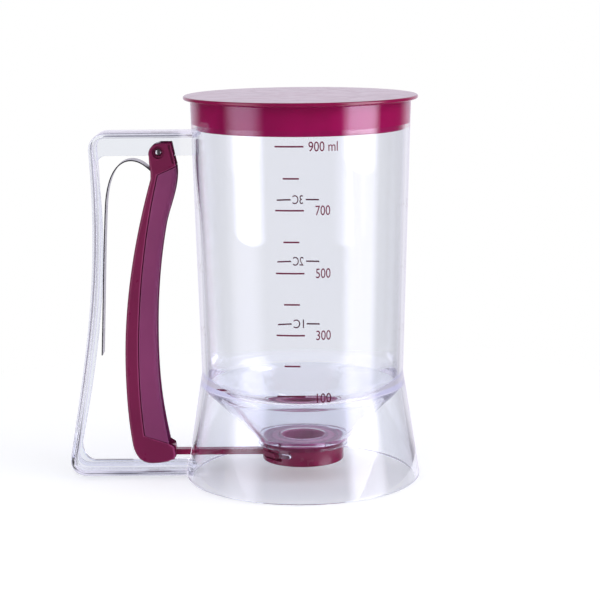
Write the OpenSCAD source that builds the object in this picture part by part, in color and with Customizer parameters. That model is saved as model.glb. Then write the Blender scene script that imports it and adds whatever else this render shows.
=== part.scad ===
// Hand-held batter dispenser: a clear jug with a funnel floor, a push-in lid, a C-shaped handle,
// and a sprung trigger whose foot draws a slide valve open under the outlet.
// Origin: jug axis at the table. +Z up, handle on -X.

/* [Jug] */
// Height of the jug's rim above the table
rim_z = 183.2; // [160:0.1:225]
// Outside radius at the rim
rim_r = 52.3; // [43:0.1:64]
// Height of the waist, where barrel, funnel and skirt meet
waist_z = 51.8; // [46:0.1:63]
// Outside radius at the waist
waist_r = 48.7; // [41:0.1:60]
// Wall of the clear barrel and funnel
wall = 2.4; // [1.8:0.1:3]
// Radius of the bend from the barrel wall into the funnel
bowl_r = 13; // [8:0.5:18]
// Outside radius of the skirt at the table
foot_r = 57; // [50:0.1:70]
// Wall of the skirt
skirt_wall = 2.4; // [1.8:0.1:3]

/* [Outlet] */
// Thickness of the outlet floor
floor_t = 3.5; // [2.5:0.1:4]
// Radius of the outlet hole
outlet_r = 11; // [8:0.1:12]
// Wall of the collar that holds the valve cup
collar_wall = 1.85; // [1.5:0.05:2.5]
// Depth of the collar below the outlet floor
collar_drop = 2; // [1.5:0.1:3]
// Width of each bayonet lug under the collar
lug_w = 5.4; // [4:0.1:7]
// Depth of each bayonet lug below the collar
lug_drop = 3.5; // [3:0.1:4]

/* [Valve] */
// Wall of the valve cup
cup_wall = 2.7; // [2.4:0.1:3]
// Floor of the valve cup
cup_floor = 2; // [1.5:0.1:2.5]
// Height of the valve cup's underside
cup_z = 8.3; // [7:0.1:9.5]
// Radius of the nozzle hole in the cup's floor
nozzle_r = 8; // [5:0.1:10]
// Turn that frees the cup from its lugs, in degrees
cup_turn = 25; // [20:1:30]
// Thickness of the slide plate and of its stem
slide_t = 2.7; // [2:0.1:3]
// Overlap of the slide plate beyond the outlet hole
slide_lap = 1.2; // [1:0.1:2]
// Width of the stem
stem_w = 5; // [4:0.1:6]
// Thickness of the valve seat
seat_t = 4.5; // [3.5:0.1:6]
// Width of the valve seat round the outlet
seat_land = 5.7; // [4.8:0.1:7]
// Thickness of the silicone seal
seal_t = 1.4; // [1:0.1:2]
// Wall of the seat's spigot, which stands in the outlet hole
spigot_t = 1.1; // [0.9:0.1:1.4]

/* [Lid] */
// Thickness of the lid's top plate
lid_t = 1.8; // [1.4:0.1:2.5]
// Overhang of the lid beyond the jug's rim
lid_lip = 3.3; // [2:0.1:5]
// Depth of the lid's plug below the rim
plug_depth = 13.8; // [10:0.1:20]
// Wall of the lid's plug
plug_wall = 1.8; // [1.4:0.1:2.5]

/* [Handle] */
// Least gap between the barrel's rim radius and the pivot
pivot_gap = 15.1; // [14:0.1:20]
// Least gap between the skirt's foot radius and the pivot
foot_gap = 10.4; // [10:0.1:16]
// Depth of the handle's upper face below the rim
handle_drop = 15; // [14:0.1:20]
// Height of the handle's underside above the table
handle_z = 1.9; // [1:0.1:3]
// Distance from the pivot to the back of the handle at its top
grip_reach = 32.8; // [30:0.1:40]
// Width of the handle's outer flange
flange_w = 20; // [16:0.5:24]
// Thickness of the outer flange
flange_t = 2.4; // [2:0.1:3]
// Thickness of the web inside the flange
web_t = 3; // [2.4:0.1:4]
// Height of the web above the bottom bar's flange
bar_rib = 3.4; // [2:0.1:4]

/* [Trigger] */
// Depth of the pivot below the handle's upper face
pivot_drop = 9.5; // [9:0.1:11]
// Radius of the pivot pin
pin_r = 1.8; // [1.4:0.05:2.2]
// Width of the trigger lever
lever_w = 14; // [13:0.1:16]
// Gap between each cheek of the lever and the stem's hook
cheek_fit = 0.4; // [0.3:0.05:1]
// Wall along the lever's back
back_t = 2.2; // [1.6:0.1:3]
// Wall of the finger grip
grip_t = 1.8; // [1.4:0.1:2.2]
// Radius of the cross bar in the lever's foot
bar_r = 1.4; // [1.2:0.05:1.6]
// Full squeeze, in degrees
squeeze = 6.2; // [5:0.1:6.2]

/* [Spring] */
// Width of the spring strip
spring_w = 10; // [8:0.1:11]
// Thickness of the spring strip
spring_t = 0.6; // [0.5:0.05:0.8]

/* [Clearances] */
// Radial clearance of the pin in the handle's boss
pin_fit = 0.05; // [0.02:0.01:0.1]
// Clearance between parts that slide or turn
slide_fit = 0.25; // [0.2:0.01:0.3]
// Gap between parts that are pressed or welded together
seat_fit = 0.05; // [0.02:0.01:0.1]

/* [Hidden] */
$fn = 96;

CLEAR = [0.86, 0.88, 0.94, 0.5];
MAGENTA = [0.52, 0.12, 0.32];
GRIP = [0.47, 0.16, 0.35];
STEEL = [0.72, 0.72, 0.74];
SEAL = [0.85, 0.8, 0.84];

BIG = 400;
eps = 0.01;

// The valve's parts stack up from the cup's underside to the outlet floor
cup_in = outlet_r + seat_land + 0.3;
cup_r = cup_in + cup_wall;
slide_z = cup_z + cup_floor + 0.2;
slide_top = slide_z + slide_t;
seat_z = slide_top + 0.3;
seat_r = outlet_r + seat_land;
bore_r = outlet_r - seat_fit - spigot_t;
floor_bot = seat_z + seat_t;
cup_top = floor_bot - 0.1;

// Heights and radii of the funnel and its outlet
floor_top = floor_bot + floor_t;
collar_in = cup_r + slide_fit;
collar_out = collar_in + collar_wall;
collar_bot = floor_bot - collar_drop;
floor_r = collar_out - 0.4;
inner_waist_r = waist_r - wall;
wall_slope = (rim_r - waist_r) / (rim_z - waist_z);
bowl_c = [inner_waist_r - bowl_r, waist_z];
cone_base = [floor_r, floor_top];
cone_span = norm(bowl_c - cone_base);
cone_angle = atan2(bowl_c[1] - cone_base[1], bowl_c[0] - cone_base[0]) - asin(bowl_r / cone_span);
seam_r = waist_r - wall / 2;
foot_edge = 1.2;
rim_edge = 0.6;

// The slide plate, the slot that it leaves the cup by, and the bayonet
slide_half = outlet_r + slide_lap;
slide_nose = 1;
slide_tail = slide_half + 1.8;
rail_t = 2;
rail_y = slide_half + slide_fit;
rail_x = sqrt(pow(seat_r, 2) - pow(rail_y + rail_t, 2)) - 0.3;
slot_top = slide_top + 0.6;
slot_front = 238;
slot_rear = 180 - asin((slide_half + 0.5) / cup_in) - cup_turn;
lug_angle = 244.6;
lug_z = collar_bot - lug_drop;
nub_t = 1.6;
nub_in = cup_r - 1.1;
groove_in = nub_in - slide_fit;

// The trigger's pivot and the cross bar below it; what is between them is stretched with their distance
handle_top = rim_z - handle_drop;
pivot = [-max(rim_r + pivot_gap, foot_r + foot_gap), handle_top - pivot_drop];
link = [pivot[0], slide_z + slide_t / 2];
lever_len = pivot[1] - link[1];
handle_back = pivot[0] - grip_reach;
slide_travel = lever_len * squeeze * PI / 180;
bar_rise = lever_len * (1 - cos(squeeze));
hook_w = stem_w + 0.8;
hook_top = link[1] + bar_rise + bar_r + 1.15;
cheek_gap = hook_w + 2 * cheek_fit;
web_low = pivot[1] - 2;
bar_web_top = handle_z + flange_t + bar_rib;
boss_r = pin_r + 2.4;
head_r = pin_r + 2.8;

// Points along a cubic curve with the four control points p, from the given step on
function bez(p, n = 12, from = 0) = [for (i = [from:n]) let (t = i / n)
  pow(1 - t, 3) * p[0] + 3 * pow(1 - t, 2) * t * p[1] + 3 * (1 - t) * t * t * p[2] + pow(t, 3) * p[3]];

// Points along an arc about c
function arc(c, r, a0, a1, n = 12) = [for (i = [0:n]) let (a = a0 + (a1 - a0) * i / n)
  c + r * [cos(a), sin(a)]];

// The path p moved sideways by d, to the left of its direction when d is positive
function beside(p, d) = [for (i = [0:len(p) - 1])
  let (v = p[min(i + 1, len(p) - 1)] - p[max(i - 1, 0)]) p[i] + d * [-v[1], v[0]] / norm(v)];

function flip(p) = [for (i = [len(p) - 1:-1:0]) p[i]];

// Places measured from the pivot, from the cross bar, and along the lever between them
function at_pivot(u, d) = [pivot[0] + u, pivot[1] + d];
function at_link(u, d) = [pivot[0] + u, link[1] + d];
function along(u, f) = [pivot[0] + u, link[1] + f * lever_len];
function at_back(u, f) = [handle_back + u, link[1] + f * lever_len];

// An outline in the XZ plane, made w thick about Y = 0
module plate(w) rotate([90, 0, 0]) linear_extrude(w, center = true) children();

// ---- jug ----

module jug_cavity_2d() {
  polygon(concat([[0, floor_top], cone_base], arc(bowl_c, bowl_r, cone_angle - 90, 0),
    [[rim_r - wall + wall_slope, rim_z + 1], [0, rim_z + 1]]));
}

module barrel_2d() {
  difference() {
    polygon(concat([[0, waist_z], [waist_r, waist_z]],
      arc([rim_r - 0.02 - rim_edge, rim_z - rim_edge], rim_edge, 0, 90, 5), [[0, rim_z]]));
    jug_cavity_2d();
  }
}

module jug_barrel() color(CLEAR) rotate_extrude() barrel_2d();

module funnel_2d() {
  outer_base = cone_base + wall * [sin(cone_angle), -cos(cone_angle)];
  rise = (collar_out - outer_base[0]) * tan(cone_angle);
  difference() {
    intersection() {
      polygon(concat([[outlet_r, floor_bot], [collar_out, floor_bot],
        [collar_out, outer_base[1] + rise]], arc(bowl_c, bowl_r + wall, cone_angle - 90, 0),
        [[outlet_r, waist_z]]));
      square([seam_r, waist_z]);
    }
    jug_cavity_2d();
  }
  translate([collar_in, collar_bot]) square([collar_wall, floor_bot - collar_bot + 0.5]);
}

module lug() {
  half = asin(lug_w / 2 / collar_out);
  rotate([0, 0, lug_angle - half]) rotate_extrude(angle = 2 * half)
    polygon([[nub_in, lug_z], [collar_out - 0.1, lug_z], [collar_out - 0.1, collar_bot + 0.5],
      [collar_in + 0.05, collar_bot + 0.5], [collar_in + 0.05, lug_z + nub_t], [nub_in, lug_z + nub_t]]);
}

module funnel_floor() color(CLEAR) {
  rotate_extrude() funnel_2d();
  for (side = [0, 180]) rotate([0, 0, side]) lug();
}

module skirt_2d() {
  difference() {
    polygon(concat([[waist_r, waist_z]], arc([foot_r - 0.2 - foot_edge, foot_edge], foot_edge, 0, -90, 6),
      [[foot_r - skirt_wall, 0], [waist_r - skirt_wall, waist_z]]));
    square([seam_r + seat_fit, waist_z + 1]);
  }
}

module base_skirt() color(CLEAR) difference() {
  rotate_extrude() skirt_2d();
  stem_window();
}

// The window in the skirt that the stem and its hook pass through
module stem_window() {
  half = stem_w / 2 + 1.8;
  low = slide_z - 1.3;
  translate([-BIG, -half, low]) cube([BIG - waist_r + wall + 4, 2 * half, hook_top + 0.6 - low]);
}

// ---- handle ----

corner = 8;
post_line = bez([at_back(0, 1) + [0, pivot_drop - corner], at_back(3.8, 0.62), at_back(-3, 0.36),
  [handle_back - 12.3, handle_z + 9.7]], 20);
outer_line = concat([[0, handle_top]], arc([handle_back + corner, handle_top - corner], corner, 90, 170),
  post_line, bez([post_line[20], [handle_back - 13.3, handle_z + 3.9], [handle_back - 10, handle_z],
  [handle_back - 4, handle_z]], 8, 1), [[0, handle_z]]);
window_line = concat([[0, web_low]], arc([handle_back + 7.3, web_low - 4], 4, 90, 170, 6),
  bez([[handle_back + 3.2, web_low - 6], at_back(8, 0.68), at_back(3.3, 0.39),
    [handle_back - 6.4, bar_web_top + 14]], 20),
  bez([[handle_back - 7.2, bar_web_top + 10], [handle_back - 8, bar_web_top + 5],
    [handle_back - 5.5, bar_web_top], [handle_back - 0.5, bar_web_top]], 8, 0), [[0, bar_web_top]]);

module handle_frame() color(CLEAR) difference() {
  union() {
    plate(web_t) difference() {
      polygon(outer_line);
      polygon(window_line);
    }
    plate(flange_w) difference() {
      polygon(outer_line);
      polygon(beside(outer_line, flange_t));
    }
    translate([pivot[0], 0, pivot[1]]) rotate([90, 0, 0])
      cylinder(r = boss_r, h = cheek_gap - 2 * slide_fit, center = true);
  }
  translate([pivot[0], 0, pivot[1]]) rotate([90, 0, 0])
    cylinder(r = pin_r + pin_fit, h = flange_w, center = true);
  // the ends follow the walls they are welded to
  rotate_extrude() polygon([[0, -1], [foot_r + seat_fit, -1], [foot_r - 0.2 + seat_fit, foot_edge],
    [waist_r + seat_fit, waist_z], [rim_r + seat_fit, rim_z], [0, rim_z]]);
}

// ---- trigger ----

// The lever's back, from under the head down to the toe
back_line = concat([at_pivot(-4.5, -5), at_pivot(-3.95, -9.7)],
  bez([at_pivot(-4, -12.7), along(-12.7, 0.709), along(-18, 0.505), along(-18, 0.3)], 18),
  bez([along(-18, 0.3), along(-18, 0.21), along(-17.3, 0.11), along(-15.4, 0.035)], 10, 1));
// The lever's front, from the head down to the foot
front_line = concat([at_pivot(7.9, -5.4)],
  bez([at_pivot(8.6, -9.7), along(8.6, 0.873), along(4.3, 0.811), along(2.9, 0.766)], 8),
  bez([along(2.9, 0.766), along(-0.9, 0.636), along(-2.4, 0.505), along(-2.4, 0.38)], 12, 1),
  bez([along(-2.4, 0.38), along(-2.5, 0.25), along(-0.9, 0.145), at_link(2.7, 3.3)], 12, 1));
// Round the foot, from its step under the grip to the heel
foot_line = concat([at_link(4.9, 3.5), at_link(5.6, -0.6), at_link(4.8, -2.5)],
  bez([at_link(1.6, -3.8), at_link(-1, -4.4), at_link(-3.5, -4.6), at_link(-6.3, -4.6)], 4),
  bez([at_link(-6.3, -4.6), at_link(-12, -4.5), at_link(-14.5, 0), along(-15.4, 0.035)], 8, 1));
head_c = at_pivot(-0.1, -0.7);

module lever_2d() {
  polygon(concat([at_pivot(6.1, 4.3)], front_line, foot_line, [for (i = [len(back_line) - 2:-1:0])
    back_line[i]], [at_pivot(-4.6, -2.4), at_pivot(-0.4, 4.3)]));
  translate(head_c) circle(head_r);
}

// The finger grip's outline, grown by g
module grip_2d(g = 0) {
  line = bez([at_pivot(-0.3, -10.6), along(-9.8, 0.669), along(-14.1, 0.335), at_link(-9.2, 9.2)], 16);
  offset(delta = g) intersection() {
    polygon(concat(line, [at_link(2.6, 5.4), at_link(30, 3.3), at_pivot(30, -6.5), at_pivot(8.8, -6.5)]));
    lever_2d();
  }
}

// Everything behind the grip's front wall
module behind_grip_2d(g) translate([-g, 0]) polygon(concat([at_pivot(-BIG, 9), at_pivot(7.6, 9)],
  front_line, [at_link(2.7, -9), at_link(-BIG, -9)]));

module channel_2d() {
  inside = [for (p = back_line) p + [back_t, 0]];
  under = bar_web_top + 0.6;
  polygon(concat([at_pivot(20, 20), at_pivot(-20, 20), at_pivot(-20, -boss_r - 0.2),
    at_pivot(-4.7 + back_t, -boss_r - 0.2)],
    inside, [at_link(-12.4, 1.5), at_link(-10.5, -1.4), [pivot[0] - 6, under], [pivot[0] - 20, under],
    [pivot[0] - 20, 0], [pivot[0] + 20, 0]]));
}

module trigger_lever() color(MAGENTA) difference() {
  union() {
    difference() {
      union() {
        plate(lever_w) difference() {
          lever_2d();
          grip_2d(0.15);
        }
        plate(lever_w - 2 * grip_t) intersection() {
          lever_2d();
          behind_grip_2d(grip_t + 0.4);
        }
      }
      plate(cheek_gap) channel_2d();
    }
    // the wall that closes the head's front below the handle's web
    plate(cheek_gap + 1) intersection() {
      difference() {
        lever_2d();
        grip_2d(0.15);
      }
      polygon([at_pivot(5.2, -2.7), at_pivot(12, -2.7), at_pivot(12, -8), at_pivot(6.1, -8)]);
    }
    translate([link[0], 0, link[1]]) rotate([90, 0, 0])
      cylinder(r = bar_r, h = cheek_gap + 2, center = true);
  }
  plate(spring_w + 2 * slide_fit) polygon(strip(spring_tail, spring_t + 0.3));
  translate([pivot[0], 0, pivot[1]]) rotate([90, 0, 0]) {
    cylinder(r = pin_r + 0.02, h = lever_w + 2, center = true);
    for (s = [-1, 1]) translate([0, 0, s * (lever_w / 2 - 1.2 + 5)])
      cylinder(r = pin_r + 1.3, h = 10, center = true);
  }
}

module trigger_grip() color(GRIP) difference() {
  plate(lever_w + 0.6) grip_2d();
  plate(lever_w - 2 * grip_t + 2 * 0.1) behind_grip_2d(grip_t);
}

module pivot_pin() color(STEEL) translate([pivot[0], 0, pivot[1]]) rotate([90, 0, 0]) {
  body = lever_w - 2 * 1.2;
  rotate_extrude() polygon(concat([[0, -body / 2 - 0.5]], [[pin_r * 0.6, -body / 2 - 0.4], [pin_r, -body / 2],
    [pin_r, body / 2], [pin_r * 0.6, body / 2 + 0.4], [0, body / 2 + 0.5]]));
}

// ---- spring ----

entry = at_pivot(-4.8, -7.9);
tail_dir = [0.75, -0.66];
spring_tail = [entry - 1.5 * tail_dir, entry + 7 * tail_dir];
shoulder = [handle_back + 7.1, pivot[1] - 25.3];
arch_top = [(entry[0] + shoulder[0]) / 2 + 2, pivot[1] - 3.9];
spring_line = concat([entry + 6 * tail_dir], bez([entry, entry - 3.2 * tail_dir,
  arch_top + [3.4, 0], arch_top], 8),
  bez([arch_top, arch_top - [6, 0], shoulder + [1.2, 15.1], shoulder], 12, 1),
  bez([shoulder, shoulder + [-1.3, -18.4], at_back(4.8, 0.5), at_back(3.6, 0.333)], 14, 1));

// A strip t thick along the path p
function strip(p, t) = concat(beside(p, t / 2), flip(beside(p, -t / 2)));

module return_spring() color(STEEL) plate(spring_w) polygon(strip(spring_line, spring_t));

// ---- valve ----

module valve_slide() color(MAGENTA) difference() {
  union() {
    translate([0, 0, slide_z]) linear_extrude(slide_t) {
      translate([slide_nose, 0]) circle(slide_half);
      polygon([[slide_nose, slide_half], [-slide_tail, slide_half], [-cup_in - 1.5, 6],
        [-cup_in - 2.5, stem_w / 2], [link[0] + 4, stem_w / 2], [link[0] + 4, -stem_w / 2],
        [-cup_in - 2.5, -stem_w / 2], [-cup_in - 1.5, -6], [-slide_tail, -slide_half],
        [slide_nose, -slide_half]]);
    }
    translate([link[0] - bar_r - 2.5, -hook_w / 2, slide_z - 1])
      cube([2 * bar_r + 6.5, hook_w, hook_top - slide_z + 1]);
  }
  // the hook drops over the lever's cross bar
  translate([link[0] - bar_r - 0.12, -stem_w, slide_z - 2])
    cube([2 * (bar_r + 0.12), 2 * stem_w, hook_top - 1 - slide_z + 2]);
}

module valve_seat() color(MAGENTA) {
  spigot_r = outlet_r - seat_fit;
  spigot_top = floor_top - 0.3;
  difference() {
    union() {
      translate([0, 0, seat_z]) cylinder(r = seat_r, h = floor_bot - seat_z);
      // the spigot lines the outlet hole, with a lead-in at its mouth
      rotate_extrude() polygon([[0, seat_z], [spigot_r, seat_z], [spigot_r, spigot_top - 0.3],
        [spigot_r - 0.3, spigot_top], [bore_r + 0.5, spigot_top], [bore_r, spigot_top - 0.8],
        [0, seat_z + 1]]);
    }
    translate([0, 0, seat_z - 1]) cylinder(r = bore_r, h = spigot_top - seat_z + 2);
    translate([0, 0, floor_bot - seal_t]) seal_ring(seal_t + 1, 0.1);
  }
  for (s = [-1, 1]) translate([0, s * (rail_y + rail_t / 2), (slide_z + seat_z) / 2 + 0.25])
    cube([2 * rail_x, rail_t, seat_z - slide_z + 0.5], center = true);
}

// A flat ring midway between the outlet hole and the seat's edge, grown by g
module seal_ring(h, g = 0) {
  middle = outlet_r + seat_land / 2;
  difference() {
    cylinder(r = middle + 1.4 + g, h = h);
    translate([0, 0, -1]) cylinder(r = middle - 1.4 - g, h = h + 2);
  }
}

module outlet_seal() color(SEAL) translate([0, 0, floor_bot - seal_t]) seal_ring(seal_t);

module sector(r0, r1, z0, z1, a0, a1) rotate([0, 0, a0]) rotate_extrude(angle = a1 - a0)
  translate([r0, z0]) square([r1 - r0, z1 - z0]);

module valve_cup() color(MAGENTA) difference() {
  translate([0, 0, cup_z]) cylinder(r = cup_r, h = cup_top - cup_z);
  translate([0, 0, cup_z + cup_floor]) cylinder(r = cup_in, h = 30);
  translate([0, 0, cup_z - 1]) cylinder(r = nozzle_r, h = cup_floor + 2);
  // the slide leaves through this slot, which is long enough for the cup to turn about it
  sector(cup_in - 1, cup_r + 1, cup_z + cup_floor, slot_top, slot_rear, slot_front);
  // bayonet grooves: a run under each lug, then a way up and out
  half = asin(lug_w / 2 / collar_out) + 1.5;
  for (side = [0, 180]) rotate([0, 0, side + lug_angle]) {
    sector(groove_in, cup_r + 1, lug_z - 0.3, lug_z + nub_t + 0.3, -cup_turn - half, half);
    sector(groove_in, cup_r + 1, lug_z - 0.3, cup_top + 1, -cup_turn - half, -cup_turn + half);
  }
}

// ---- lid ----

module lid() color(MAGENTA) rotate_extrude() {
  plug_top = rim_r - wall - slide_fit;
  plug_bot = plug_top - plug_depth * wall_slope;
  plug_z = rim_z - plug_depth;
  lip = rim_r + lid_lip;
  top = rim_z + lid_t;
  edge = min(0.8, lid_t * 0.45, plug_wall * 0.45);
  root = 1.2;
  polygon(concat([[0, rim_z]],
    // the fillet inside the plug, the plug's round foot, and the round edge of the lip
    arc([plug_top - plug_wall - root - 0.03, rim_z - root], root, 90, 0, 6),
    arc([plug_bot - plug_wall + edge, plug_z + edge], edge, 180, 270, 5),
    arc([plug_bot - edge, plug_z + edge], edge, 270, 360, 5),
    [[plug_top, rim_z]],
    arc([lip - edge, rim_z + edge], edge, 270, 360, 5),
    arc([lip - edge, top - edge], edge, 0, 90, 5), [[0, top]]));
}

lid();
jug_barrel();
funnel_floor();
base_skirt();
handle_frame();
trigger_lever();
trigger_grip();
pivot_pin();
return_spring();
valve_slide();
valve_seat();
outlet_seal();
valve_cup();
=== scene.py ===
"""Looks of the batter dispenser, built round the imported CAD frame.

Everything is in metres in the frame of the CAD model: +Z up, jug axis on Z, handle on -X, and a viewer
at -Y sees the handle on the left. Sizes are written in millimetres and become metres where a mesh is made.
"""

import math

import bmesh
import bpy
from mathutils import Matrix, Vector


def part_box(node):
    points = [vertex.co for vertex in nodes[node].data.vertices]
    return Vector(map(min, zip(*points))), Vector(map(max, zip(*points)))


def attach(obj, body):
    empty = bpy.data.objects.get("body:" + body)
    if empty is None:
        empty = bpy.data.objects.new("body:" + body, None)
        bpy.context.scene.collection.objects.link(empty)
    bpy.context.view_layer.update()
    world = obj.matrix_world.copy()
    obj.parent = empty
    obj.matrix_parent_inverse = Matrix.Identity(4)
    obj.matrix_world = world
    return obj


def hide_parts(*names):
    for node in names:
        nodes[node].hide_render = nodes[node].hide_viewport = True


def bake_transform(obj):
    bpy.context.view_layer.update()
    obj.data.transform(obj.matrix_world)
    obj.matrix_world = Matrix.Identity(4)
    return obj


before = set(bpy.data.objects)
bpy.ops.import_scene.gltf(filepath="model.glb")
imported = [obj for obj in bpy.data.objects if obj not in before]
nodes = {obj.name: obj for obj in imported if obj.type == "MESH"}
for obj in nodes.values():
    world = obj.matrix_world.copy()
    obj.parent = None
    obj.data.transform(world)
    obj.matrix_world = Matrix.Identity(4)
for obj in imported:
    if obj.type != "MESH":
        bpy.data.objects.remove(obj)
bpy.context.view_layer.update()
MM = 0.001

# ---------------------------------------------------------------- sizes, in millimetres, as in the CAD model


def box_mm(node):
    """Lowest and highest corner of a CAD node, in millimetres."""
    low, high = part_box(node)
    return low / MM, high / MM


BARREL_LOW, BARREL_HIGH = box_mm("jug_barrel")
SKIRT_HIGH = box_mm("base_skirt")[1]
LID_LOW, LID_HIGH = box_mm("lid")
CUP_LOW, CUP_HIGH = box_mm("valve_cup")
SLIDE_HIGH = box_mm("valve_slide")[1]
LEVER_LOW, LEVER_HIGH = box_mm("trigger_lever")
GRIP_HIGH = box_mm("trigger_grip")[1]
PIN_HIGH = box_mm("pivot_pin")[1]
HANDLE_LOW, HANDLE_HIGH = box_mm("handle_frame")

# the clear jug
WAIST_Z = BARREL_LOW.z
RIM_Z = BARREL_HIGH.z
RIM_R = 52.3
WAIST_R = 48.7
WALL = 2.4
BOWL_R = 13.0
FOOT_R = SKIRT_HIGH.x
EDGE = 1.2  # radius of the foot's outer edge
FLOOR_TOP = 21.5
FLOOR_BOTTOM = 18.0
OUTLET_R = 11.0
COLLAR_IN = 19.95
COLLAR_OUT = 21.8
COLLAR_BOTTOM = 16.0
CONTACT = 0.03  # how far the clear plastic reaches into what is pressed against it
LUG_Z = box_mm("funnel_floor")[0].z
LUG_T = 1.6
LUG_W = 5.4
LUG_IN = 18.6
LUG_ANGLE = 244.6

# the lid
LID_LIP = LID_HIGH.x
PLUG_WALL = 1.8
LID_EDGE = 0.8
LID_ROOT = 1.2

# the valve
CUP_R = CUP_HIGH.x
CUP_IN = 17.0
CUP_FLOOR = 2.0
CUP_TURN = 25.0
NOZZLE_R = 8.0
STEM_W = 5.0
SLIDE_Z = 10.5
SLIDE_HALF = 12.2
SLIDE_TOP = 13.2

# the handle and the trigger
PIVOT = Vector((-67.4, 158.7))
LINK = Vector((-67.4, 11.85))
HANDLE_BACK = -100.2
HANDLE_TOP = HANDLE_HIGH.z
HANDLE_Z = HANDLE_LOW.z
CORNER = 8.0
FLANGE_W = HANDLE_HIGH.y - HANDLE_LOW.y
FLANGE_T = 2.4
WEB_T = 3.0
WEB_LOW = PIVOT.y - 2
BAR_WEB_TOP = 7.7
BOSS_R = 4.2
PIN_R = 1.8
LEVER_W = LEVER_HIGH.y - LEVER_LOW.y
CHEEK_GAP = 6.6
BACK_T = 2.2
GRIP_T = 1.8
BAR_R = 1.4
HEAD_R = 4.6
RECESS_DEPTH = 1.5
GROOVE_DEPTH = 0.7
POST_STEPS = 240
SPRING_W = 10.0
SPRING_T = 0.6


def wall_radius(z):
    """Outside radius of the barrel at height z."""
    return WAIST_R + (RIM_R - WAIST_R) * (z - WAIST_Z) / (RIM_Z - WAIST_Z)


# ---------------------------------------------------------------- curves in a plane


def arc(centre, radius, start, end, steps):
    """Points along an arc, angles in degrees."""
    turn = [math.radians(start + (end - start) * i / steps) for i in range(steps + 1)]
    return [Vector((centre[0] + radius * math.cos(a), centre[1] + radius * math.sin(a))) for a in turn]


def bez(a, b, c, d, steps, first=0):
    """Points along a cubic curve with these four control points, from step first on."""
    made = []
    for i in range(first, steps + 1):
        t = i / steps
        s = 1 - t
        early = s**3 * Vector(a) + 3 * s * s * t * Vector(b)
        made.append(early + 3 * s * t * t * Vector(c) + t**3 * Vector(d))
    return made


def beside(path, d):
    """The path moved sideways by d, to the left of its direction when d is positive."""
    made = []
    for i, p in enumerate(path):
        way = (path[min(i + 1, len(path) - 1)] - path[max(i - 1, 0)]).normalized()
        made.append(p + d * Vector((-way.y, way.x)))
    return made


def at_pivot(u, d):
    return Vector((PIVOT.x + u, PIVOT.y + d))


def at_link(u, d):
    return Vector((LINK.x + u, LINK.y + d))


def along(u, f):
    """A place u in front of the pivot, a share f of the way up from the cross bar to the pivot."""
    return Vector((PIVOT.x + u, LINK.y + f * (PIVOT.y - LINK.y)))


def at_back(u, f):
    return Vector((HANDLE_BACK + u, LINK.y + f * (PIVOT.y - LINK.y)))


def anticlockwise(outline):
    area = sum(a.x * b.y - b.x * a.y for a, b in zip(outline, outline[1:] + outline[:1]))
    return outline if area > 0 else outline[::-1]


def outward(outline):
    """The outward normal at each point of an anticlockwise outline, longer at corners."""
    made = []
    for i, here in enumerate(outline):
        back = (here - outline[i - 1]).normalized()
        on = (outline[(i + 1) % len(outline)] - here).normalized()
        first = Vector((back.y, -back.x))
        middle = (first + Vector((on.y, -on.x))).normalized()
        made.append(middle / max(0.5, middle.dot(first)))
    return made


# ---------------------------------------------------------------- mesh helpers


def new_mesh(name, shape):
    """A mesh from a bmesh made in millimetres, its faces turned outwards."""
    bmesh.ops.recalc_face_normals(shape, faces=shape.faces)
    bmesh.ops.scale(shape, vec=(MM, MM, MM), verts=shape.verts)
    mesh = bpy.data.meshes.new(name)
    shape.to_mesh(mesh)
    shape.free()
    return mesh


def bridge(shape, rings, closed):
    """Faces between each ring of points and the next, and from the last to the first if closed."""
    pairs = list(zip(rings, rings[1:]))
    if closed:
        pairs.append((rings[-1], rings[0]))
    for here, after in pairs:
        for i in range(len(here)):
            j = (i + 1) % len(here)
            corners = []
            for v in (here[i], here[j], after[j], after[i]):
                if v not in corners:
                    corners.append(v)
            if len(corners) > 2:
                shape.faces.new(corners)


def lathe(name, outline, segments=256):
    """A closed (r, z) outline turned about Z. Points on the axis become poles."""
    shape = bmesh.new()
    rings = []
    turn = [2 * math.pi * i / segments for i in range(segments)]
    for r, z in outline:
        if r < 1e-6:
            rings.append([shape.verts.new((0, 0, z))] * segments)
        else:
            rings.append([shape.verts.new((r * math.cos(a), r * math.sin(a), z)) for a in turn])
    bridge(shape, rings, True)
    return new_mesh(name, shape)


def sector(outline, start, end, steps=24):
    """A closed (r, z) outline turned about Z from one angle to another, in degrees."""
    shape = bmesh.new()
    rings = []
    for k in range(steps + 1):
        a = math.radians(start + (end - start) * k / steps)
        rings.append([shape.verts.new((r * math.cos(a), r * math.sin(a), z)) for r, z in outline])
    bridge(shape, rings, False)
    shape.faces.new(rings[0])
    shape.faces.new(rings[-1][::-1])
    return new_mesh("sector", shape)


def oblong(r0, r1, z0, z1):
    return [(r0, z0), (r1, z0), (r1, z1), (r0, z1)]


SHARP = 0.02  # edge radius where no rounding is wanted


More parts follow.
